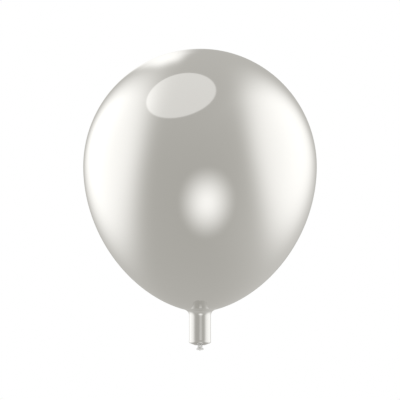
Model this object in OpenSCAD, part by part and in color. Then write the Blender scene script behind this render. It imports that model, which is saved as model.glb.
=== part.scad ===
// Party balloon of silver latex, with a plug-and-flap air valve fitted in its neck.
// Frame: +Z up through the crown, origin on the axis at the middle of the neck's straight length.

/* [Balloon skin] */
// Width of the inflated bulb at its widest ring
bulb_d = 280; // [230:1:320]
// Height of the bulb above its widest ring
crown_h = 141.5; // [120:0.5:170]
// Depth that the bulb's lower curve would reach below the widest ring
taper_h = 174; // [150:0.5:210]
// Thickness of the skin
skin_t = 0.5; // [0.4:0.1:0.8]

/* [Neck] */
// Outer diameter of the neck
neck_d = 26; // [26:0.5:30]
// Length of the neck's straight part
neck_len = 29; // [28:0.5:34]
// Radius at which the neck's flare leaves the bulb's curve
shoulder_r = 18.5; // [18:0.5:24]
// How far the rolled lip stands out from the neck
lip_proud = 0.2; // [0.1:0.05:0.2]
// Section radius of the rolled lip
lip_roll_r = 1.6; // [1.4:0.1:1.8]

/* [Valve] */
// Wall of the valve body
valve_wall = 1.8; // [1.6:0.1:2]
// Radius of the air way through the seat plate
port_r = 5; // [4:0.5:5]
// Radius of the stopper's bore in the end cap
bore_r = 3.05; // [2.5:0.05:3.25]
// Depth of the end cap's cone
cone_h = 2.5; // [2:0.1:4]
// Radius of the cone's flat end
cone_end_r = 5.8; // [5.2:0.1:7]

/* [Stopper] */
// Length of stem between the cone and the pull foot
stem_gap = 3.4; // [2:0.1:6]
// Radius of the pull foot
foot_r = 4.3; // [4:0.1:5.5]
// Thickness of the pull foot
foot_h = 2.3; // [1.6:0.1:3]
// How far the stopper is drawn out of its bore
pull_out = 0; // [0:1:18]

/* [Flap] */
// Angle that the flap is lifted from its seat
flap_lift = 0; // [0:5:70]

/* [Hidden] */
$fn = 96;
e = 0.01;             // overreach of a cut past the face it opens
fit = 0.02;           // gap between pieces that are pushed together
run = 0.05;           // gap between pieces that move on each other

bulb_r = bulb_d / 2;
neck_r = neck_d / 2;
crown_steps = 24;     // points on the bulb's upper curve
taper_steps = 32;     // points on the bulb's lower curve
flare_steps = 10;     // points on the neck's flare
lip_steps = 24;       // points round the rolled lip

// The lower curve is r = bulb_r * (1 - t^taper_p)^taper_q, with t from 0 at the widest ring.
taper_p = 1.95;
taper_q = 0.58;
function taper_r(t) = bulb_r * pow(1 - pow(t, taper_p), taper_q);
function taper_slope(t) = -bulb_r * taper_q * taper_p * pow(t, taper_p - 1)
    * pow(1 - pow(t, taper_p), taper_q - 1);

// The flare is one arc, tangent to the lower curve at shoulder_r and to the neck.
t_shoulder = pow(1 - pow(shoulder_r / bulb_r, 1 / taper_q), 1 / taper_p);
shoulder_tilt = atan2(taper_h, -taper_slope(t_shoulder));
flare_r = (shoulder_r - neck_r) / (1 - sin(shoulder_tilt));
neck_top = neck_len / 2;
neck_end = -neck_len / 2;
equator_z = neck_top + flare_r * cos(shoulder_tilt) + taper_h * t_shoulder;

// Rolled lip at the neck's mouth
lip_drop = 0.5;
lip_c = [neck_r + lip_proud - lip_roll_r, neck_end - lip_drop - lip_roll_r];
lip_bottom = lip_c[1] - lip_roll_r;
function lip_angle(r) = acos((r - lip_c[0]) / lip_roll_r);

// Valve body: a sleeve that fills the neck, with a rabbet for the lip at its lower end
body_r = neck_r - skin_t - fit;
chamber_r = body_r - valve_wall;
body_top = neck_top - 1.5;
lead_w = 0.6;         // lead-in chamfer round the body's top
lead_h = 0.8;
rabbet_r = lip_c[0] - lip_roll_r - run;
rabbet_z = lip_c[1] + lip_roll_r + run;
body_end = lip_bottom - run;
ledge_w = 1.6;        // ledge that the end cap snaps behind
ledge_h = 5;
ledge_r = rabbet_r - ledge_w;
ledge_z = body_end + ledge_h;
seat_t = 2;
seat_z = 6.6;          // top of the seat plate
groove_w = 1.2;
groove_t = 0.4;
groove_pitch = 5.5;
grooves = 4;

// Seat gasket and flap
gasket_w = 1.6;
gasket_in = port_r + 0.6;
gasket_out = gasket_in + gasket_w;
gasket_t = 1.1;
gasket_proud = 0.5;
gasket_z = seat_z + gasket_proud;
flap_r = gasket_out + 0.4;
flap_t = 1.4;
flap_z = gasket_z + run;
boss_r = 2.4;         // raised middle of the flap
boss_h = 0.6;
pin_r = 0.6;
pin_y = flap_r + 1.2;
pin_z = flap_z + flap_t + 0.05;
knuckle_r = 1.2;
knuckle_w = 6;
ear_t = 1.2;
ear_gap = 0.2;
pin_len = knuckle_w + 2 * (ear_gap + ear_t);

// End cap and stopper
cap_r = lip_c[0] + 0.7;
cap_band = 0.4;
cone_z = body_end - cap_band;
cap_end = cone_z - cone_h;
spigot_t = 1.5;
spigot_r = ledge_r - fit;
spigot_in = spigot_r - spigot_t;
snap_w = 0.45;        // snap ridge round the spigot
snap_low = ledge_z + 0.2;
snap_top = ledge_z + 0.9;
guide_t = 1.55;
guide_len = 9.7;
guide_r = bore_r + guide_t;
guide_top = body_end + guide_len;
cap_floor = cone_z - 0.2;
stem_r = bore_r - run;
tip_len = 2;          // tapered tip that leads the stopper into its bore
tip_w = 0.8;
stopper_top = guide_top + tip_len;
foot_top = cap_end - stem_gap;
foot_end = foot_top - foot_h;
foot_edge = 0.4;      // broken edges of the pull foot
nib_r = 1.2;
nib_h = 0.7;
rib_pitch = 2;
rib_groove = 0.35;
rib_gap = 1;
ribs = 3;

function unit(v) = v / norm(v);

// A point of the skin's outline, depth below its outer face
function crown_point(a, depth) =
    [bulb_r * cos(a), equator_z + crown_h * sin(a)]
    - depth * unit([cos(a) / bulb_r, sin(a) / crown_h]);
function taper_point(t, depth) =
    [taper_r(t), equator_z - taper_h * t] - depth * unit([taper_h, taper_slope(t)]);
function flare_point(a, depth) =
    [neck_r + flare_r, neck_top] + (flare_r + depth) * [-cos(a), sin(a)];

function skin_line(depth) = [
    for (i = [0:crown_steps]) i == 0 ? [0, equator_z + crown_h - depth]
        : crown_point(90 * (1 - i / crown_steps), depth),
    for (i = [1:taper_steps]) taper_point(t_shoulder * sin(90 * i / taper_steps), depth),
    for (i = [1:flare_steps]) flare_point((90 - shoulder_tilt) * (1 - i / flare_steps), depth)
];
function lip_line(from, to) = [
    for (i = [0:lip_steps]) let (a = from + (to - from) * i / lip_steps)
        lip_c + lip_roll_r * [cos(a), sin(a)]
];
function reversed(list) = [for (i = [len(list) - 1:-1:0]) list[i]];

// One dipped piece: bulb, flare, neck and the lip rolled from its own edge
module envelope() color([0.66, 0.65, 0.62]) rotate_extrude()
    polygon(concat(
        skin_line(0),
        lip_line(lip_angle(neck_r), lip_angle(neck_r - skin_t) - 360),
        reversed(skin_line(skin_t))
    ));

module body_sleeve() difference() {
    rotate_extrude() polygon([
        [ledge_r, body_end], [rabbet_r, body_end], [rabbet_r, rabbet_z], [body_r, rabbet_z],
        [body_r, body_top - lead_h], [body_r - lead_w, body_top], [chamber_r, body_top],
        [chamber_r, seat_z], [port_r, seat_z], [port_r, seat_z - seat_t],
        [chamber_r, seat_z - seat_t], [chamber_r, ledge_z], [ledge_r, ledge_z]
    ]);
    for (i = [0:grooves - 1]) translate([0, 0, (i - (grooves - 1) / 2) * groove_pitch])
        rotate_extrude() translate([body_r - groove_t, -groove_w / 2])
            square([groove_t + e, groove_w]);
    translate([0, 0, gasket_z - gasket_t]) rotate_extrude()
        translate([gasket_in - fit, 0]) square([gasket_out - gasket_in + 2 * fit, gasket_t]);
}

// The two ears that carry the flap's pin
module ears() difference() {
    intersection() {
        for (side = [-1, 1]) translate([side * (knuckle_w + ear_t + 2 * ear_gap) / 2, pin_y, 0])
            translate([-ear_t / 2, -knuckle_r, seat_z - e])
                cube([ear_t, chamber_r, pin_z + knuckle_r - seat_z + e]);
        cylinder(r = chamber_r + valve_wall / 2, h = body_top);
    }
    translate([0, pin_y, pin_z]) rotate([0, 90, 0])
        cylinder(r = pin_r + fit / 2, h = neck_d, center = true);
}

module valve_body() color([0.93, 0.93, 0.91]) union() {
    body_sleeve();
    ears();
}

// Shallow cone that closes the neck below the lip, with a snap-in spigot and the stopper's guide
module end_cap() color([0.6, 0.59, 0.56]) rotate_extrude() polygon([
    [bore_r, cap_end], [cone_end_r, cap_end], [cap_r, cone_z], [cap_r, body_end - fit],
    [spigot_r, body_end - fit], [spigot_r, ledge_z + fit], [spigot_r + snap_w, snap_low],
    [spigot_r, snap_top], [spigot_in, snap_top], [spigot_in, cap_floor],
    [guide_r, cap_floor], [guide_r, guide_top], [bore_r, guide_top]
]);

module seat_gasket() color([0.75, 0.3, 0.25]) rotate_extrude()
    translate([gasket_in, gasket_z - gasket_t]) square([gasket_out - gasket_in, gasket_t]);

module flap_plate() {
    translate([0, 0, flap_z]) cylinder(r = flap_r, h = flap_t);
    translate([0, 0, flap_z + flap_t - e]) cylinder(r = boss_r, h = boss_h);
    translate([-knuckle_w / 2, 0, flap_z]) cube([knuckle_w, pin_y, flap_t]);
    translate([0, pin_y, pin_z]) rotate([0, 90, 0]) cylinder(r = knuckle_r, h = knuckle_w, center = true);
}

module flap() color([0.86, 0.86, 0.83])
    translate([0, pin_y, pin_z]) rotate([-flap_lift, 0, 0]) translate([0, -pin_y, -pin_z])
        difference() {
            flap_plate();
            translate([0, pin_y, pin_z]) rotate([0, 90, 0])
                cylinder(r = pin_r + run, h = knuckle_w + 2, center = true);
        }

module flap_pin() color([0.7, 0.7, 0.72]) translate([0, pin_y, pin_z]) rotate([0, 90, 0])
    cylinder(r = pin_r, h = pin_len, center = true);

// Plug with sealing ribs on its shank, a plain stem, and a flared foot to pull on
module stopper() color([0.84, 0.84, 0.83]) translate([0, 0, -pull_out]) difference() {
    rotate_extrude() polygon([
        [0, foot_end - nib_h], [nib_r * 0.6, foot_end - nib_h], [nib_r, foot_end],
        [foot_r - foot_edge, foot_end], [foot_r, foot_end + foot_edge],
        [foot_r, foot_top - foot_edge], [foot_r - foot_edge, foot_top], [stem_r, foot_top],
        [stem_r, guide_top], [stem_r - tip_w, stopper_top], [0, stopper_top]
    ]);
    for (i = [1:ribs]) translate([0, 0, guide_top - i * rib_pitch]) rotate_extrude()
        translate([stem_r - rib_groove, -rib_gap / 2]) square([rib_groove + e, rib_gap]);
}

envelope();
valve_body();
end_cap();
seat_gasket();
flap();
flap_pin();
stopper();
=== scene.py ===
"""Looks of a silver latex party balloon whose neck is closed by a plug-and-flap air valve."""

import logging
import math
from collections.abc import Mapping, Sequence
from dataclasses import dataclass, field
from enum import Enum
from typing import Any

import bmesh
import bpy
from mathutils import Matrix, Vector

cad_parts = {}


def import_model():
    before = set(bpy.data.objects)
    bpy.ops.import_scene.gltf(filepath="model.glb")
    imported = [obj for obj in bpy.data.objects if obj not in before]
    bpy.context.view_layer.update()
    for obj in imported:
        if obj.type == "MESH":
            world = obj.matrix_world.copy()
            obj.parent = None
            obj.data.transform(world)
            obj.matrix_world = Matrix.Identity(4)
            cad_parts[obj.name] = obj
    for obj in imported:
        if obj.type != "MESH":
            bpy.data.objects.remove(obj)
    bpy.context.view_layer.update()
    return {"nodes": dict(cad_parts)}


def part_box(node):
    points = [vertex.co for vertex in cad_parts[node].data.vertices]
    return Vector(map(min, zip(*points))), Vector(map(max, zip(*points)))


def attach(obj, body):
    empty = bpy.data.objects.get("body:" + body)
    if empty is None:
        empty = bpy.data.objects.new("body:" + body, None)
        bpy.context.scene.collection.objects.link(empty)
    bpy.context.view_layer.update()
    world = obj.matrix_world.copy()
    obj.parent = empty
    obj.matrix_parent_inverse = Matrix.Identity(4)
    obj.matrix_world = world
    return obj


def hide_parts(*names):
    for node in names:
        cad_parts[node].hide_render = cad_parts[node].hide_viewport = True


LOG = logging.getLogger("balloon")
MM = 0.001
TINY = 1e-6

Point = tuple[float, float]
Triple = tuple[float, float, float]


# ---------------------------------------------------------------- shader graphs


class Wire:
    """A shader value that takes part in Python arithmetic."""

    def __init__(self, graph: "Graph", socket: bpy.types.NodeSocket) -> None:
        """Wraps an output socket.

        Args:
            graph: the graph that the socket's node is in.
            socket: the socket that gives the value.
        """
        self.graph = graph
        self.socket = socket

    def _math(self, operation: str, *values: Any) -> "Wire":
        """Adds one Math node.

        Args:
            operation: the Math node's operation.
            *values: its inputs, in order, as numbers or wires.

        Returns:
            The node's result.
        """
        node = self.graph.node("ShaderNodeMath", {"operation": operation}, dict(enumerate(values)))
        return Wire(self.graph, node.outputs[0])

    def __add__(self, other: Any) -> "Wire":
        """Sum of two values."""
        return self._math("ADD", self, other)

    def __radd__(self, other: float) -> "Wire":
        """Sum with the number on the left."""
        return self._math("ADD", other, self)

    def __sub__(self, other: Any) -> "Wire":
        """Difference of two values."""
        return self._math("SUBTRACT", self, other)

    def __rsub__(self, other: float) -> "Wire":
        """Difference with the number on the left."""
        return self._math("SUBTRACT", other, self)

    def __mul__(self, other: Any) -> "Wire":
        """Product of two values."""
        return self._math("MULTIPLY", self, other)

    def __rmul__(self, other: float) -> "Wire":
        """Product with the number on the left."""
        return self._math("MULTIPLY", other, self)

    def __truediv__(self, other: Any) -> "Wire":
        """Quotient of two values."""
        return self._math("DIVIDE", self, other)

    def __rtruediv__(self, other: float) -> "Wire":
        """Quotient with the number on the left."""
        return self._math("DIVIDE", other, self)

    def __pow__(self, other: Any) -> "Wire":
        """Power of a value."""
        return self._math("POWER", self, other)

    def __rpow__(self, other: float) -> "Wire":
        """Power with the number on the left."""
        return self._math("POWER", other, self)

    def __neg__(self) -> "Wire":
        """Value with its sign turned."""
        return self._math("MULTIPLY", self, -1.0)

    def centred(self) -> "Wire":
        """Value from 0 to 1 moved to lie about 0."""
        return self - 0.5

    def root(self) -> "Wire":
        """Square root."""
        return self._math("SQRT", self)

    def exp(self) -> "Wire":
        """Exponential."""
        return self._math("EXPONENT", self)

    def arccos(self) -> "Wire":
        """Angle whose cosine this is."""
        return self._math("ARCCOSINE", self)

    def arctan(self) -> "Wire":
        """Angle whose tangent this is."""
        return self._math("ARCTANGENT", self)

    def at_least(self, low: float) -> "Wire":
        """Value held at or above a floor."""
        return self._math("MAXIMUM", self, low)

    def ramp(self, start: float, end: float) -> "Wire":
        """Smooth step from 0 at start to 1 at end.

        Args:
            start: the value that gives 0.
            end: the value that gives 1, which may be the lower one.

        Returns:
            The step's height.
        """
        low, high = min(start, end), max(start, end)
        at_low, at_high = (1.0, 0.0) if start > end else (0.0, 1.0)
        node = self.graph.node("ShaderNodeMapRange", {"interpolation_type": "SMOOTHSTEP"},
                               {0: self, 1: low, 2: high, 3: at_low, 4: at_high})
        return Wire(self.graph, node.outputs[0])


class Graph:
    """The node tree of one material or world, and what is added to it."""

    column_width: float = 40.0
    row_height: float = 180.0
    rows: int = 7

    def __init__(self, owner: bpy.types.Material | bpy.types.World) -> None:
        """Empties the owner's node tree.

        Args:
            owner: the material or world that the nodes are for.
        """
        owner.use_nodes = True
        self.tree = owner.node_tree
        self.tree.nodes.clear()

    def node(self, kind: str, settings: Mapping[str, Any] | None = None,
             sockets: Mapping[str | int, Any] | None = None) -> bpy.types.Node:
        """Adds one node.

        Args:
            kind: the node's type.
            settings: its properties, set before its sockets.
            sockets: numbers, colours, sockets or wires for its inputs, by name or number.

        Returns:
            The new node.
        """
        count = len(self.tree.nodes)
        made = self.tree.nodes.new(kind)
        made.location = (count * self.column_width, -(count % self.rows) * self.row_height)
        for name, value in (settings or {}).items():
            setattr(made, name, value)
        for name, value in (sockets or {}).items():
            self._feed(made.inputs[name], value)
        return made

    def _feed(self, target: bpy.types.NodeSocket, value: Any) -> None:
        """Links or sets one input.

        Args:
            target: the input socket.
            value: a wire, a socket, a number, a colour or a vector.
        """
        if isinstance(value, Wire):
            value = value.socket
        if isinstance(value, bpy.types.NodeSocket):
            self.tree.links.new(value, target)
        elif target.type == "RGBA" and len(value) == 3:
            target.default_value = (*value, 1.0)
        else:
            target.default_value = value

    def place(self) -> bpy.types.NodeSocket:
        """Place on the object, in metres from its origin."""
        return self.node("ShaderNodeTexCoord").outputs["Object"]

    def parts(self, vector: bpy.types.NodeSocket) -> tuple[Wire, Wire, Wire]:
        """The three parts of a vector."""
        split = self.node("ShaderNodeSeparateXYZ", None, {0: vector})
        return tuple(Wire(self, output) for output in split.outputs)

    def blend(self, share: Any, first: Any, second: Any) -> bpy.types.NodeSocket:
        """Mixes two colours.

        Args:
            share: how much of the second there is.
            first: the first colour.
            second: the second colour.

        Returns:
            The mixed colour.
        """
        node = self.node("ShaderNodeMix", {"data_type": "RGBA"}, {0: share, 6: first, 7: second})
        return node.outputs[2]

    def scaled(self, vector: Any, factors: Triple) -> bpy.types.NodeSocket:
        """Multiplies a vector by factors, axis by axis."""
        node = self.node("ShaderNodeVectorMath", {"operation": "MULTIPLY"}, {0: vector, 1: factors})
        return node.outputs[0]

    def dot(self, vector: Any, other: Vector) -> Wire:
        """Length of a vector along a fixed direction."""
        node = self.node("ShaderNodeVectorMath", {"operation": "DOT_PRODUCT"}, {0: vector, 1: other})
        return Wire(self, node.outputs["Value"])

    def noise(self, vector: Any, cells: float, octaves: float = 2.0, fine: float = 0.5) -> Wire:
        """Fractal noise about one half.

        Args:
            vector: where it is read.
            cells: its cells to the metre.
            octaves: its octaves beyond the first.
            fine: how strong each finer octave is against the one before.

        Returns:
            The noise, from 0 to 1.
        """
        sockets = {"Vector": vector, "Scale": cells, "Detail": octaves, "Roughness": fine}
        node = self.node("ShaderNodeTexNoise", {"normalize": True}, sockets)
        return Wire(self, node.outputs["Fac"])

    def bump(self, height: Wire, distance: float) -> bpy.types.NodeSocket:
        """Turns a height from 0 to 1 into a shading normal, where 1 stands for a distance in metres."""
        sockets = {"Height": height, "Distance": distance, "Strength": 1.0}
        return self.node("ShaderNodeBump", None, sockets).outputs["Normal"]

    def principled(self, sockets: Mapping[str, Any]) -> bpy.types.NodeSocket:
        """One Principled shader."""
        return self.node("ShaderNodeBsdfPrincipled", None, sockets).outputs[0]

    def shared(self, share: Any, first: bpy.types.NodeSocket,
               second: bpy.types.NodeSocket) -> bpy.types.NodeSocket:
        """Mixes two shaders.

        Args:
            share: how much of the second there is.
            first: the first shader.
            second: the second shader.

        Returns:
            The mixed shader.
        """
        return self.node("ShaderNodeMixShader", None, {0: share, 1: first, 2: second}).outputs[0]

    def added(self, first: bpy.types.NodeSocket, second: bpy.types.NodeSocket) -> bpy.types.NodeSocket:
        """Adds two shaders."""
        return self.node("ShaderNodeAddShader", None, {0: first, 1: second}).outputs[0]

    def surface(self, shader: bpy.types.NodeSocket) -> None:
        """Ends a material's graph with its shader."""
        self.node("ShaderNodeOutputMaterial", None, {"Surface": shader})


# ---------------------------------------------------------------- finishes


@dataclass(frozen=True)
class Finish:
    """A surface finish: its own colour and gloss, and the nodes that vary them."""

    name: str
    colour: Triple
    roughness: float

    def material(self) -> bpy.types.Material:
        """Builds the finish as a material.

        Returns:
            The new material.
        """
        made = bpy.data.materials.new(self.name)
        self.lay(Graph(made))
        made.diffuse_color = (*self.colour, 1.0)
        made.roughness = self.roughness
        return made

    def lay(self, graph: Graph) -> None:
        """Lays the finish's nodes. Each finish has its own."""
        raise NotImplementedError

    def shade(self, factor: float) -> Triple:
        """The finish's colour made lighter or darker by a factor."""
        return tuple(part * factor for part in self.colour)


@dataclass(frozen=True)
class SilverLatex(Finish):
    """Stretched latex filled with silver pigment: a soft mirror, duller where it is slack.

    The neck is slack. The bulb's tip is thicker than its sides. The pale band round the shoulder over the
    neck is a painted highlight that stands in for the light line where the flare meets the bulb.
    """

    full_colour: float = 0.84
    even_thickness: float = 0.08
    slack_thickness: float = 0.42
    slack_top: float = 26 * MM
    slack_base: float = 12 * MM
    tip_thickness: float = 0.2
    tip_core_r: float = 4 * MM
    tip_r: float = 45 * MM
    tip_base: float = 200 * MM
    tip_top: float = 300 * MM
    # Where the painted highlight band round the shoulder lies, how wide it is, and its colour.
    shoulder_z: float = 20.2 * MM
    shoulder_reach: float = 4.8 * MM
    shoulder_core: float = 1.3 * MM
    painted_highlight_colour: Triple = (1.0, 1.0, 1.0)
    cloud_thickness: float = 0.16
    cloud_gloss: float = 0.012
    pearl_gloss: float = 0.006
    crease_gloss: float = 0.03
    pearl_height: float = 0.05
    crease_height: float = 0.004 * MM
    along_neck: Triple = (1.0, 1.0, 0.06)

    def lay(self, graph: Graph) -> None:
        """Lays the latex's nodes.

        Args:
            graph: the material's graph.
        """
        place = graph.place()
        across, along, height = graph.parts(place)
        from_axis = (across * across + along * along).root()
        cloud = graph.noise(place, cells=11.0, octaves=3.0, fine=0.45)
        pearl = graph.noise(place, cells=2600.0, octaves=1.0)
        creases = graph.noise(graph.scaled(place, self.along_neck), cells=620.0)

        slack = height.ramp(self.slack_top, self.slack_base)
        tip = from_axis.ramp(self.tip_r, self.tip_core_r) * height.ramp(self.tip_base, self.tip_top)
        # Painted highlight: a pale band round the shoulder, standing in for the light line where the flare
        # meets the bulb.
        low, high = self.shoulder_z - self.shoulder_reach, self.shoulder_z + self.shoulder_reach
        painted_highlight_band = (height.ramp(low, self.shoulder_z - self.shoulder_core)
                * height.ramp(high, self.shoulder_z + self.shoulder_core))
        thick = (slack * self.slack_thickness + tip * self.tip_thickness
                 + cloud.centred() * self.cloud_thickness + self.even_thickness)

        colour = graph.blend(thick, self.colour, self.shade(self.full_colour))
        # The painted highlight band is blended over the skin's colour.
        colour = graph.blend(painted_highlight_band, colour, self.painted_highlight_colour)
        roughness = (self.roughness + cloud * self.cloud_gloss + pearl * self.pearl_gloss
                     + slack * creases * self.crease_gloss)
        relief = graph.bump(creases * slack + pearl * self.pearl_height, self.crease_height)
        graph.surface(graph.principled({
            "Base Color": colour, "Metallic": 1.0, "Roughness": roughness, "Normal": relief}))


@dataclass(frozen=True)
class MouldedPlastic(Finish):
    """Injection-moulded plastic: an even colour with flow clouds and a fine spark texture."""

    grain: float = 0.006 * MM
    metal: float = 0.0
    pale: float = 1.04
    deep: float = 0.92
    flow_gloss: float = 0.12
    spark_gloss: float = 0.1
    spark_share: float = 0.7
    round_bore: Triple = (0.2, 0.2, 1.0)

    def lay(self, graph: Graph) -> None:
        """Lays the plastic's nodes.

        Args:
            graph: the material's graph.
        """
        place = graph.place()
        flow = graph.noise(place, cells=160.0, octaves=3.0)
        spark = graph.noise(place, cells=5200.0, fine=0.6)
        turned = graph.noise(graph.scaled(place, self.round_bore), cells=2400.0, octaves=1.0)
        colour = graph.blend(flow, self.shade(self.pale), self.shade(self.deep))
        roughness = self.roughness + flow.centred() * self.flow_gloss + spark.centred() * self.spark_gloss
        relief = graph.bump(spark * self.spark_share + turned * (1.0 - self.spark_share), self.grain)
        graph.surface(graph.principled({
            "Base Color": colour, "Metallic": self.metal, "Roughness": roughness, "Normal": relief}))


@dataclass(frozen=True)
class Silicone(Finish):
    """Soft matte silicone with a dusty bloom."""

    deep: float = 0.9
    pale: float = 1.12
    bloom_gloss: float = 0.2
    grain_share: float = 0.6
    grain: float = 0.012 * MM

    def lay(self, graph: Graph) -> None:
        """Lays the silicone's nodes.

        Args:
            graph: the material's graph.
        """
        place = graph.place()
        bloom = graph.noise(place, cells=420.0, octaves=4.0, fine=0.6)
        grain = graph.noise(place, cells=4200.0)
        colour = graph.blend(bloom, self.shade(self.deep), self.shade(self.pale))
        roughness = self.roughness + bloom.centred() * self.bloom_gloss
        relief = graph.bump(grain * self.grain_share + bloom * (1.0 - self.grain_share), self.grain)
        graph.surface(graph.principled({
            "Base Color": colour, "Roughness": roughness, "Normal": relief}))


@dataclass(frozen=True)
class DrawnWire(Finish):
    """Bright wire with the fine lengthwise lines of drawing."""

    pale: float = 1.05
    deep: float = 0.85
    line_gloss: float = 0.15
    line_height: float = 0.005 * MM
    along_wire: Triple = (0.05, 1.0, 1.0)

    def lay(self, graph: Graph) -> None:
        """Lays the wire's nodes.

        Args:
            graph: the material's graph.
        """
        lines = graph.noise(graph.scaled(graph.place(), self.along_wire), cells=9000.0)
        colour = graph.blend(lines, self.shade(self.pale), self.shade(self.deep))
        roughness = self.roughness + lines.centred() * self.line_gloss
        relief = graph.bump(lines, self.line_height)
        graph.surface(graph.principled({
            "Base Color": colour, "Metallic": 1.0, "Roughness": roughness, "Normal": relief}))


@dataclass(frozen=True)
class StudioFloor(Finish):
    """Pale seamless floor that glows a little, as a lit sweep does, and is clear from underneath."""

    glow: float = 0.3
    deep: float = 0.98

    def lay(self, graph: Graph) -> None:
        """Lays the floor's nodes.

        Args:
            graph: the material's graph.
        """
        mottle = graph.noise(graph.place(), cells=3.0, octaves=3.0)
        colour = graph.blend(mottle, self.colour, self.shade(self.deep))
        paper = graph.principled({
            "Base Color": colour, "Roughness": self.roughness, "Specular IOR Level": 0.0,
            "Emission Color": colour, "Emission Strength": self.glow})
        under = graph.node("ShaderNodeNewGeometry").outputs["Backfacing"]
        clear = graph.node("ShaderNodeBsdfTransparent").outputs[0]
        graph.surface(graph.shared(under, paper, clear))


@dataclass(frozen=True)
class LampGlow(Finish):
    """The glow of a round lamp on a clear card, which fades to nothing at its rim."""

    distance: float
    spread: float
    hardness: float
    strength: float

    def lay(self, graph: Graph) -> None:
        """Lays the lamp's nodes.

        Args:
            graph: the material's graph.
        """
        across, up, _ = graph.parts(graph.place())
        angle = ((across * across + up * up).root() / self.distance).arctan()
        fade = angle.ramp(self.spread, 0.0).at_least(TINY) ** self.hardness
        sockets = {"Color": self.colour, "Strength": self.strength}
        glow = graph.node("ShaderNodeEmission", None, sockets).outputs[0]
        clear = graph.node("ShaderNodeBsdfTransparent").outputs[0]
        graph.surface(graph.shared(fade, clear, graph.added(glow, clear)))


# ---------------------------------------------------------------- outlines and turned pieces


@dataclass(frozen=True)
class Corner:
    """A corner of a turned outline, with the radius that rounds it."""

    r: float
    z: float
    fillet: float = 0.0


class Outline:
    """Half-sections, as (radius, height) points, for turning about the axis."""

    @staticmethod
    def rounded(corners: Sequence[Corner], steps: int = 6, closed: bool = True) -> list[Point]:
        """Rounds the corners of an outline.

        Args:
            corners: the outline's corners in order.
            steps: the segments in each rounded corner.
            closed: whether the last corner joins the first.

        Returns:
            The outline's points.
        """
        points: list[Point] = []
        count = len(corners)
        for i, corner in enumerate(corners):
            here = Vector((corner.r, corner.z))
            ends = not closed and i in (0, count - 1)
            if corner.fillet <= 0.0 or ends:
                points.append((corner.r, corner.z))
                continue
            before, after = corners[i - 1], corners[(i + 1) % count]
            back = (Vector((before.r, before.z)) - here).normalized()
            ahead = (Vector((after.r, after.z)) - here).normalized()
            half = back.angle(ahead) / 2
            reach = corner.fillet / math.tan(half)
            centre = here + (back + ahead).normalized() * (corner.fillet / math.sin(half))
            first = here + back * reach - centre
            turn = math.pi - 2 * half
            side = 1.0 if back.x * ahead.y - back.y * ahead.x < 0 else -1.0
            for k in range(steps + 1):
                spun = centre + Matrix.Rotation(side * turn * k / steps, 2) @ first
                points.append((spun.x, spun.y))
        return points

    @staticmethod
    def between(start: Point, end: Point, parts: int) -> list[Point]:
        """Evenly spaced points on a straight edge, with its start and without its end.

        Args:
            start: where the edge starts.
            end: where it ends.
            parts: how many parts it is split into.

        Returns:
            The points.
        """
        shares = [k / parts for k in range(parts)]
        return [(start[0] + (end[0] - start[0]) * s, start[1] + (end[1] - start[1]) * s) for s in shares]

    @classmethod
    def refined(cls, points: Sequence[Point], longest: float, closed: bool = True) -> list[Point]:
        """Splits an outline's long edges.

        Args:
            points: the outline.
            longest: the longest edge that stays whole.
            closed: whether the last point joins the first.

        Returns:
            The outline with the points that were added.
        """
        loop = [*points, points[0]] if closed else list(points)
        result: list[Point] = []
        for start, end in zip(loop, loop[1:]):
            result += cls.between(start, end, max(1, math.ceil(math.dist(start, end) / longest)))
        return result if closed else [*result, loop[-1]]


class Body(Enum):
    """The bodies that move on their own."""

    BALLOON = "balloon"
    FLAP = "flap"
    STOPPER = "stopper"


@dataclass
class Piece:
    """One visible piece: the CAD node that it stands for, its body and its finish."""

    node: str
    body: Body
    slot: str
    finish: Finish

    @property
    def label(self) -> str:
        """The visible piece's own name."""
        return f"{self.node}_surface"

    def shape(self, mesh: bmesh.types.BMesh) -> None:
        """Draws the piece into an empty mesh. Each piece has its own."""
        raise NotImplementedError

    def build(self) -> bpy.types.Object:
        """Makes the piece, dresses it and hangs it on its body.

        Returns:
            The visible object.
        """
        data = bpy.data.meshes.new(self.label)
        mesh = bmesh.new()
        self.shape(mesh)
        bmesh.ops.recalc_face_normals(mesh, faces=mesh.faces)
        mesh.to_mesh(data)
        mesh.free()
        made = bpy.data.objects.new(self.label, data)
        bpy.context.scene.collection.objects.link(made)
        data.shade_smooth()
        self.dress(made)
        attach(made, self.body.value)
        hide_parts(self.node)
        LOG.info("%s: %d faces on %s", made.name, len(data.polygons), self.body.value)
        return made

    def dress(self, made: bpy.types.Object) -> None:
        """Gives the piece its finish."""
        made.data.materials.append(self.finish.material())


@dataclass
class Turned(Piece):
    """A piece whose surface is one outline turned about the balloon's axis."""

    segments: int = 128
    closed: bool = True

    def outline(self) -> list[Point]:
        """The half-section that is turned. Each piece has its own."""
        raise NotImplementedError

    def shape(self, mesh: bmesh.types.BMesh) -> None:
        """Turns the outline into rings of quads, with triangles only at a pole.

        Args:
            mesh: the mesh that is drawn into.
        """
        angles = [math.tau * k / self.segments for k in range(self.segments)]
        rings = []
        for r, z in self.outline():
            if r < TINY:
                rings.append([mesh.verts.new((0.0, 0.0, z))])
            else:
                rings.append([mesh.verts.new((r * math.cos(a), r * math.sin(a), z)) for a in angles])
        pairs = list(zip(rings, rings[1:]))
        if self.closed:
            pairs.append((rings[-1], rings[0]))
        for low, high in pairs:
            self._band(mesh, low, high)

    def _band(self, mesh: bmesh.types.BMesh, low: list[bmesh.types.BMVert],
              high: list[bmesh.types.BMVert]) -> None:
        """Joins two rings.

        Args:
            mesh: the mesh that is drawn into.
            low: the first ring, or a pole.
            high: the second ring, or a pole.
        """
        for k in range(self.segments):
            n = (k + 1) % self.segments
            if len(low) == 1:
                mesh.faces.new((low[0], high[k], high[n]))
            elif len(high) == 1:
                mesh.faces.new((low[k], low[n], high[0]))
            else:
                mesh.faces.new((low[k], low[n], high[n], high[k]))


# ---------------------------------------------------------------- the balloon's skin


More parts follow.
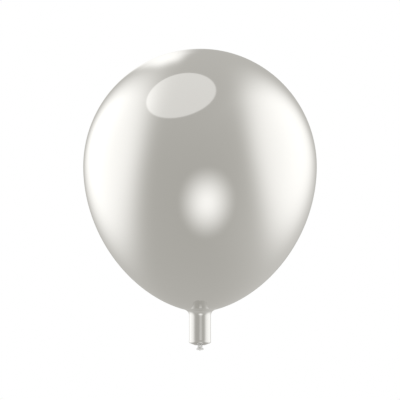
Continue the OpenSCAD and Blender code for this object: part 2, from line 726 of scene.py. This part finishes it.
@dataclass
class LatexSkin(Turned):
    """The dipped skin: bulb, flare, straight neck and the lip rolled from its own edge."""

    segments: int = 192
    closed: bool = False
    bulb_r: float = 140 * MM
    crown_h: float = 141.5 * MM
    taper_h: float = 174 * MM
    taper_p: float = 1.95
    taper_q: float = 0.58
    skin: float = 0.5 * MM
    neck_r: float = 13 * MM
    neck_half: float = 14.5 * MM
    shoulder_r: float = 18.5 * MM
    lip_lead: float = 0.6 * MM
    lip_proud: float = 0.25 * MM
    lip_width: float = 3.0 * MM
    lip_drop: float = 0.5 * MM
    lip_height: float = 3.22 * MM
    lip_shoulder: float = 0.2 * MM
    lip_shoulder_fillet: float = 2.0 * MM
    lip_bead: float = 1.05 * MM
    lip_bead_fillet: float = 1.5 * MM
    lip_rim_fillet: float = 0.6 * MM
    lip_roll_fillet: float = 1.3 * MM
    lip_seam_fillet: float = 0.3 * MM
    lip_steps: int = 12
    lip_longest: float = 0.3 * MM
    crown_steps: int = 72
    taper_steps: int = 84
    flare_steps: int = 20
    neck_steps: int = 12
    inner_share: float = 0.5
    shoulder_t: float = field(init=False)
    shoulder_tilt: float = field(init=False)
    flare_r: float = field(init=False)
    equator_z: float = field(init=False)

    def __post_init__(self) -> None:
        """Works out where the flare leaves the bulb and where the widest ring lies."""
        left = 1 - (self.shoulder_r / self.bulb_r) ** (1 / self.taper_q)
        self.shoulder_t = left ** (1 / self.taper_p)
        self.shoulder_tilt = math.atan2(self.taper_h, -self._taper_slope(self.shoulder_t))
        self.flare_r = (self.shoulder_r - self.neck_r) / (1 - math.sin(self.shoulder_tilt))
        drop = self.flare_r * math.cos(self.shoulder_tilt)
        self.equator_z = self.neck_half + drop + self.taper_h * self.shoulder_t

    def _taper_slope(self, t: float) -> float:
        """Change of the taper's radius with t."""
        p, q = self.taper_p, self.taper_q
        return -self.bulb_r * q * p * t ** (p - 1) * (1 - t**p) ** (q - 1)

    def _inset(self, r: float, z: float, normal: Vector, depth: float) -> Point:
        """A point of the outline moved inwards along its normal."""
        inward = normal.normalized() * depth
        return (r - inward.x, z - inward.y)

    def _crown(self, angle: float, depth: float) -> Point:
        """A point of the bulb's upper curve.

        Args:
            angle: the ellipse's parameter, from 0 at the widest ring.
            depth: how far under the outer face it lies.

        Returns:
            The point.
        """
        c, s = math.cos(angle), math.sin(angle)
        normal = Vector((c / self.bulb_r, s / self.crown_h))
        return self._inset(self.bulb_r * c, self.equator_z + self.crown_h * s, normal, depth)

    def _taper(self, t: float, depth: float) -> Point:
        """A point of the bulb's lower curve.

        Args:
            t: the share of the taper's depth, from 0 at the widest ring.
            depth: how far under the outer face it lies.

        Returns:
            The point.
        """
        r = self.bulb_r * (1 - t**self.taper_p) ** self.taper_q
        normal = Vector((self.taper_h, self._taper_slope(t)))
        return self._inset(r, self.equator_z - self.taper_h * t, normal, depth)

    def _flare(self, angle: float, depth: float) -> Point:
        """A point of the flare between the bulb and the neck.

        Args:
            angle: the fillet's angle, from 0 at the neck.
            depth: how far under the outer face it lies.

        Returns:
            The point.
        """
        reach = self.flare_r + depth
        centre_r, centre_z = self.neck_r + self.flare_r, self.neck_half
        return (centre_r - reach * math.cos(angle), centre_z + reach * math.sin(angle))

    def _wall(self, depth: float, share: float) -> list[Point]:
        """One face of the skin, from the crown down to the end of the flare.

        Args:
            depth: how far under the outer face it lies.
            share: the share of the outer face's rings that it gets.

        Returns:
            The face's points.
        """
        rings = (self.crown_steps, self.taper_steps, self.flare_steps)
        crown, taper, flare = (round(steps * share) for steps in rings)
        span = math.pi / 2 - self.shoulder_tilt
        points = [(0.0, self.equator_z + self.crown_h - depth)]
        points += [self._crown(math.pi / 2 * (1 - i / crown), depth) for i in range(1, crown + 1)]
        points += [self._taper(self.shoulder_t * math.sin(math.pi / 2 * i / taper), depth)
                   for i in range(1, taper + 1)]
        points += [self._flare(span * (1 - i / flare), depth) for i in range(1, flare + 1)]
        return points

    def _lip(self) -> list[Point]:
        """The rolled lip, from the neck's outer face to its inner face.

        Returns:
            The lip's points.
        """
        top = -self.neck_half - self.lip_drop
        end = top - self.lip_height
        bead_r, roll_r, inner_r = (
            self.neck_r + self.lip_proud, self.neck_r - self.lip_width, self.neck_r - self.skin)
        corners = [
            Corner(self.neck_r, top + self.lip_lead),
            Corner(self.neck_r, top - self.lip_shoulder, self.lip_shoulder_fillet),
            Corner(bead_r, end + self.lip_bead, self.lip_bead_fillet),
            Corner(self.neck_r, end, self.lip_rim_fillet),
            Corner(roll_r, end, self.lip_roll_fillet),
            Corner(roll_r, top, self.lip_roll_fillet),
            Corner(inner_r, top, self.lip_seam_fillet),
            Corner(inner_r, top + self.lip_lead),
        ]
        round_lip = Outline.rounded(corners, self.lip_steps, closed=False)
        return Outline.refined(round_lip, self.lip_longest, closed=False)

    def outline(self) -> list[Point]:
        """The skin's half-section: outer face, rolled lip, inner face.

        Returns:
            The points, from the crown's outer pole to its inner pole.
        """
        outer, lip = self._wall(0.0, 1.0), self._lip()
        inner = self._wall(self.skin, self.inner_share)
        neck = Outline.between(outer[-1], lip[0], self.neck_steps)[1:]
        bore = Outline.between(lip[-1], inner[-1], self.neck_steps)[1:]
        return outer + neck + lip + bore + inner[::-1]


# ---------------------------------------------------------------- the valve's pieces


@dataclass
class EndCap(Turned):
    """The shallow cone that closes the neck, with its snap spigot and the stopper's guide."""

    longest: float = 0.8 * MM
    rim_inset: float = 0.1 * MM
    rim_h: float = 0.25 * MM
    rim_fillet: float = 0.2 * MM
    band_top: float = -18.27 * MM
    bore: float = 3.05 * MM
    land: float = 5.6 * MM
    land_gap: float = 0.15 * MM
    land_fillet: float = 1.6 * MM
    spigot: float = 8.33 * MM
    spigot_in: float = 6.83 * MM
    ledge: float = -13.25 * MM
    snap: float = 0.45 * MM
    snap_foot: float = 0.02 * MM
    snap_peak: float = 0.2 * MM
    snap_top: float = 0.9 * MM
    guide: float = 4.6 * MM
    guide_fillet: float = 0.25 * MM
    floor_t: float = 0.2 * MM
    fine_fillet: float = 0.1 * MM
    small_fillet: float = 0.15 * MM
    fillet: float = 0.3 * MM

    def outline(self) -> list[Point]:
        """The cap's half-section, with its edges broken.

        Returns:
            The points.
        """
        low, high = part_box(self.node)
        end, top, rim_r = low.z + self.land_gap, high.z, high.x - self.rim_inset
        rim_z = self.band_top - self.rim_h
        floor_z = rim_z - self.floor_t
        snap_top = self.ledge + self.snap_top
        corners = [
            Corner(self.bore, end, self.small_fillet), Corner(self.land, end, self.land_fillet),
            Corner(rim_r, rim_z, self.rim_fillet), Corner(rim_r, self.band_top, self.fine_fillet),
            Corner(self.spigot, self.band_top), Corner(self.spigot, self.ledge + self.snap_foot),
            Corner(self.spigot + self.snap, self.ledge + self.snap_peak, self.fine_fillet),
            Corner(self.spigot, snap_top, self.small_fillet), Corner(self.spigot_in, snap_top, self.fillet),
            Corner(self.spigot_in, floor_z, self.fillet), Corner(self.guide, floor_z, self.fillet),
            Corner(self.guide, top, self.guide_fillet), Corner(self.bore, top, self.fillet),
        ]
        return Outline.refined(Outline.rounded(corners), self.longest)


@dataclass
class Stopper(Turned):
    """The ribbed plug with its stem, its flared foot to pull on, and the foot's nib."""

    segments: int = 96
    closed: bool = False
    longest: float = 0.8 * MM
    stem: float = 3.0 * MM
    nib_r: float = 0.72 * MM
    nib_root_r: float = 1.2 * MM
    nib_h: float = 0.7 * MM
    nib_fillet: float = 0.2 * MM
    nib_root_fillet: float = 0.15 * MM
    foot_h: float = 2.3 * MM
    foot_fillet: float = 0.7 * MM
    foot_top_fillet: float = 0.5 * MM
    stem_fillet: float = 0.45 * MM
    grooves: int = 3
    groove_pitch: float = 2.0 * MM
    groove_depth: float = 0.35 * MM
    groove_half: float = 0.5 * MM
    groove_fillet: float = 0.12 * MM
    nose_h: float = 2.0 * MM
    nose_taper: float = 0.8 * MM
    nose_root_fillet: float = 0.8 * MM
    nose_fillet: float = 0.5 * MM

    def _groove(self, middle: float) -> list[Corner]:
        """The corners of one groove between the ribs, from below.

        Args:
            middle: the height of the groove's middle.

        Returns:
            The groove's four corners.
        """
        low, high = middle - self.groove_half, middle + self.groove_half
        outer, inner = self.stem, self.stem - self.groove_depth
        places = ((outer, low), (inner, low), (inner, high), (outer, high))
        return [Corner(r, z, self.groove_fillet) for r, z in places]

    def outline(self) -> list[Point]:
        """The stopper's half-section from its nib to its tip.

        Returns:
            The points.
        """
        low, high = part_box(self.node)
        foot_end = low.z + self.nib_h
        foot_top = foot_end + self.foot_h
        nose = high.z - self.nose_h
        corners = [
            Corner(0.0, low.z), Corner(self.nib_r, low.z, self.nib_fillet),
            Corner(self.nib_root_r, foot_end, self.nib_root_fillet),
            Corner(high.x, foot_end, self.foot_fillet), Corner(high.x, foot_top, self.foot_top_fillet),
            Corner(self.stem, foot_top, self.stem_fillet),
        ]
        for i in range(self.grooves, 0, -1):
            corners += self._groove(nose - i * self.groove_pitch)
        corners += [
            Corner(self.stem, nose, self.nose_root_fillet),
            Corner(self.stem - self.nose_taper, high.z, self.nose_fillet), Corner(0.0, high.z),
        ]
        return Outline.refined(Outline.rounded(corners, closed=False), self.longest, closed=False)


@dataclass
class InnerPart:
    """A part inside the valve whose CAD shape is already right: it only gets its finish."""

    node: str
    body: Body
    finish: Finish

    def dress(self, nodes: Mapping[str, bpy.types.Object]) -> None:
        """Puts the finish on the CAD node.

        Args:
            nodes: the frame's nodes by name.
        """
        made = nodes[self.node]
        made.data.materials.clear()
        made.data.materials.append(self.finish.material())
        LOG.info("%s: %s on %s", self.node, self.finish.name, self.body.value)


# ---------------------------------------------------------------- the studio


@dataclass(frozen=True)
class FarLight:
    """A light in the surroundings, known by the direction that it lies in as seen from the balloon."""

    azimuth: float
    elevation: float
    strength: float

    @staticmethod
    def towards(azimuth: float, elevation: float) -> Vector:
        """Direction from the balloon, with azimuth 0 at the camera and 90 at its right."""
        a, e = math.radians(azimuth), math.radians(elevation)
        return Vector((math.sin(a) * math.cos(e), -math.cos(a) * math.cos(e), math.sin(e)))

    def glow(self, graph: Graph, direction: bpy.types.NodeSocket) -> Wire:
        """The light's brightness seen along a direction. Each kind of light has its own."""
        raise NotImplementedError


@dataclass(frozen=True)
class RolledLight(FarLight):
    """A far light with a width and a height, turned about its own middle."""

    roll: float

    def offsets(self, graph: Graph, direction: bpy.types.NodeSocket) -> tuple[Wire, Wire]:
        """How far a direction lies from the light's middle.

        Args:
            graph: the world's graph.
            direction: the direction that is looked along.

        Returns:
            The angles along the light's width and its height, in radians.
        """
        middle = self.towards(self.azimuth, self.elevation)
        right = middle.cross(Vector((0, 0, 1))).normalized()
        up = right.cross(middle)
        c, s = math.cos(math.radians(self.roll)), math.sin(math.radians(self.roll))
        ahead = graph.dot(direction, middle)
        reach = ahead.arccos() / (1.0 + TINY - ahead * ahead).root()
        return (reach * graph.dot(direction, right * c + up * s),
                reach * graph.dot(direction, up * c - right * s))


@dataclass(frozen=True)
class OvalLight(RolledLight):
    """A soft oval light."""

    half_width: float
    half_height: float
    hardness: float

    def glow(self, graph: Graph, direction: bpy.types.NodeSocket) -> Wire:
        """The light's brightness seen along a direction.

        Args:
            graph: the world's graph.
            direction: the direction that is looked along.

        Returns:
            The brightness.
        """
        across, along = self.offsets(graph, direction)
        across, along = across / self.half_width, along / self.half_height
        reach = (across * across + along * along).root().at_least(TINY)
        return (-(reach ** self.hardness)).exp() * self.strength


@dataclass(frozen=True)
class FeatheredLight(RolledLight):
    """A light that fades at its own rate to each of its four sides, and may narrow downwards."""

    right: float
    left: float
    up: float
    down: float
    hardness_across: float
    hardness_along: float
    taper: float = 0.0
    narrowest: float = 0.02

    def glow(self, graph: Graph, direction: bpy.types.NodeSocket) -> Wire:
        """The light's brightness seen along a direction.

        Args:
            graph: the world's graph.
            direction: the direction that is looked along.

        Returns:
            The brightness.
        """
        wide, high = self.offsets(graph, direction)
        below = (-high).at_least(0.0)
        across = wide.at_least(0.0) / self.right + (-wide).at_least(0.0) / self.left
        along = high.at_least(0.0) / self.up + below / self.down
        if self.taper:
            across = across / (1.0 - below * self.taper).at_least(self.narrowest)
        fade = across.at_least(TINY) ** self.hardness_across + along.at_least(TINY) ** self.hardness_along
        return (-fade).exp() * self.strength


@dataclass(frozen=True)
class OverheadDisc(FarLight):
    """A sharp-edged round panel overhead."""

    radius: float
    edge: float

    def glow(self, graph: Graph, direction: bpy.types.NodeSocket) -> Wire:
        """The panel's brightness seen along a direction.

        Args:
            graph: the world's graph.
            direction: the direction that is looked along.

        Returns:
            The brightness.
        """
        away = graph.dot(direction, self.towards(self.azimuth, self.elevation)).arccos()
        return away.ramp(self.radius + self.edge, self.radius - self.edge) * self.strength


@dataclass
class Studio:
    """Soft studio surroundings, the low front lamp, the floor and the camera."""

    white: Triple = (1.0, 1.0, 1.0)
    grey: Triple = (0.4537, 0.4432, 0.4140)
    drift: Triple = (0.0027, 0.0273, 0.0184)
    left_panel: OvalLight = OvalLight(
        azimuth=-107.6, elevation=10.6, roll=29.1, strength=0.5065,
        half_width=0.834, half_height=0.810, hardness=4.70)
    right_panel: OvalLight = OvalLight(
        azimuth=101.3, elevation=12.2, roll=-16.6, strength=0.4101,
        half_width=0.831, half_height=0.805, hardness=5.25)
    left_wall: FeatheredLight = FeatheredLight(
        azimuth=-148.5, elevation=9.2, roll=37.1, strength=0.2848,
        right=0.195, left=0.771, up=0.734, down=0.365, hardness_across=1.78, hardness_along=2.30)
    right_wall: FeatheredLight = FeatheredLight(
        azimuth=138.0, elevation=13.6, roll=52.0, strength=0.2413,
        right=0.953, left=0.635, up=0.293, down=1.216, hardness_across=2.22, hardness_along=2.20)
    back_sliver: FeatheredLight = FeatheredLight(
        azimuth=-170.7, elevation=27.5, roll=18.0, strength=0.5745,
        right=0.094, left=0.109, up=0.359, down=0.716, hardness_across=3.29, hardness_along=3.16,
        taper=1.446)
    ceiling_disc: OverheadDisc = OverheadDisc(
        azimuth=-56.2, elevation=71.8, strength=0.2508, radius=0.4746, edge=0.016)
    lamp: LampGlow = LampGlow(
        "lamp_glow", (1.0, 1.0, 1.0), 1.0, distance=1.25, spread=0.5505, hardness=0.866, strength=0.566)
    lamp_aim: Triple = (8 * MM, -137 * MM, 144 * MM)
    lamp_azimuth: float = 7.75
    lamp_elevation: float = -27.55
    lamp_sides: int = 64
    paper: StudioFloor = StudioFloor("floor_paper", (0.84, 0.84, 0.84), 0.9)
    floor_z: float = -93 * MM
    floor_r: float = 9.0
    floor_sides: int = 96
    camera_distance: float = 3.0
    camera_reach: float = 50.0
    view_middle_z: float = 153.05 * MM
    view_width: float = 479.44 * MM

    def build(self) -> None:
        """Makes the whole studio."""
        self._surroundings()
        self._lamp()
        self._floor()
        self._camera()

    def _surroundings(self) -> None:
        """Makes the world: white to the camera, soft lights in grey to everything else."""
        world = bpy.data.worlds.new("surroundings")
        bpy.context.scene.world = world
        graph = Graph(world)
        direction = graph.node("ShaderNodeTexCoord").outputs["Generated"]
        lights = (self.left_panel, self.right_panel, self.left_wall, self.right_wall,
                  self.back_sliver, self.ceiling_disc)
        light = graph.dot(direction, Vector(self.drift))
        for far in lights:
            light = light + far.glow(graph, direction)
        soft = self._background(graph, self.white, light)
        everything = graph.added(soft, self._background(graph, self.grey))
        seen = graph.node("ShaderNodeLightPath").outputs["Is Camera Ray"]
        mixed = graph.shared(seen, everything, self._background(graph, self.white))
        graph.node("ShaderNodeOutputWorld", None, {"Surface": mixed})
        LOG.info("surroundings: %d far lights", len(lights))

    @staticmethod
    def _background(graph: Graph, colour: Triple, strength: Wire | float = 1.0) -> bpy.types.NodeSocket:
        """One background shader."""
        sockets = {"Color": colour, "Strength": strength}
        return graph.node("ShaderNodeBackground", None, sockets).outputs[0]

    @staticmethod
    def _card(name: str, radius: float, sides: int, finish: Finish) -> bpy.types.Object:
        """Makes a flat round card, which belongs to the studio and casts no shadow.

        Args:
            name: the card's name.
            radius: its radius, in metres.
            sides: the sides of its rim.
            finish: what it is made of.

        Returns:
            The card, level at the origin.
        """
        data = bpy.data.meshes.new(name)
        mesh = bmesh.new()
        bmesh.ops.create_circle(mesh, cap_ends=True, segments=sides, radius=radius)
        mesh.to_mesh(data)
        mesh.free()
        data.materials.append(finish.material())
        card = bpy.data.objects.new(name, data)
        card.visible_shadow = False
        bpy.context.scene.collection.objects.link(card)
        LOG.info("%s: %s", name, finish.name)
        return card

    def _lamp(self) -> None:
        """Makes the low front lamp, which the camera doesn't see."""
        towards = FarLight.towards(self.lamp_azimuth, self.lamp_elevation)
        radius = self.lamp.distance * math.tan(self.lamp.spread)
        card = self._card("front_lamp", radius, self.lamp_sides, self.lamp)
        place = Matrix.Translation(Vector(self.lamp_aim) + towards * self.lamp.distance)
        card.matrix_world = place @ (-towards).to_track_quat("Z", "Y").to_matrix().to_4x4()
        card.visible_camera = False

    def _floor(self) -> None:
        """Makes the pale floor under the balloon, which the balloon doesn't mirror."""
        floor = self._card("floor", self.floor_r, self.floor_sides, self.paper)
        floor.data.transform(Matrix.Translation((0.0, 0.0, self.floor_z)))
        floor.visible_glossy = False
        floor.visible_transmission = False

    def _camera(self) -> None:
        """Makes the camera: level with the balloon, with parallel rays."""
        data = bpy.data.cameras.new("camera")
        data.type = "ORTHO"
        data.ortho_scale = self.view_width
        data.clip_end = self.camera_reach
        camera = bpy.data.objects.new("camera", data)
        camera.location = (0.0, -self.camera_distance, self.view_middle_z)
        camera.rotation_euler = (math.pi / 2, 0.0, 0.0)
        bpy.context.scene.collection.objects.link(camera)
        bpy.context.scene.camera = camera
        LOG.info("camera: %.3f m wide view", self.view_width)


def main() -> None:
    """Loads the frame, builds and dresses every piece, and sets up the studio."""
    logging.basicConfig(level=logging.INFO, format="%(name)s: %(message)s")
    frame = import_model()
    scene = bpy.context.scene
    scene.view_settings.view_transform = "Standard"
    scene.view_settings.look = "None"

    silver = SilverLatex("silver_latex", (0.953, 0.950, 0.942), 0.035)
    plated = MouldedPlastic("silver_plastic", (0.80, 0.796, 0.785), 0.12, grain=0.0006 * MM, metal=1.0)
    grey = MouldedPlastic("grey_plastic", (0.92, 0.925, 0.93), 0.38, grain=0.003 * MM)
    natural = MouldedPlastic("natural_plastic", (0.80, 0.80, 0.775), 0.42, grain=0.018 * MM)
    satin = MouldedPlastic("flap_plastic", (0.66, 0.66, 0.62), 0.45, grain=0.014 * MM)
    red = Silicone("gasket_silicone", (0.52, 0.075, 0.052), 0.6)
    steel = DrawnWire("pin_steel", (0.62, 0.62, 0.64), 0.28)

    LatexSkin("envelope", Body.BALLOON, "latex_skin", silver).build()
    EndCap("end_cap", Body.BALLOON, "cap_plastic", plated).build()
    Stopper("stopper", Body.STOPPER, "stopper_plastic", grey).build()
    InnerPart("valve_body", Body.BALLOON, natural).dress(frame["nodes"])
    InnerPart("flap", Body.FLAP, satin).dress(frame["nodes"])
    InnerPart("seat_gasket", Body.BALLOON, red).dress(frame["nodes"])
    InnerPart("flap_pin", Body.BALLOON, steel).dress(frame["nodes"])
    Studio().build()


if __name__ == "__main__":
    main()
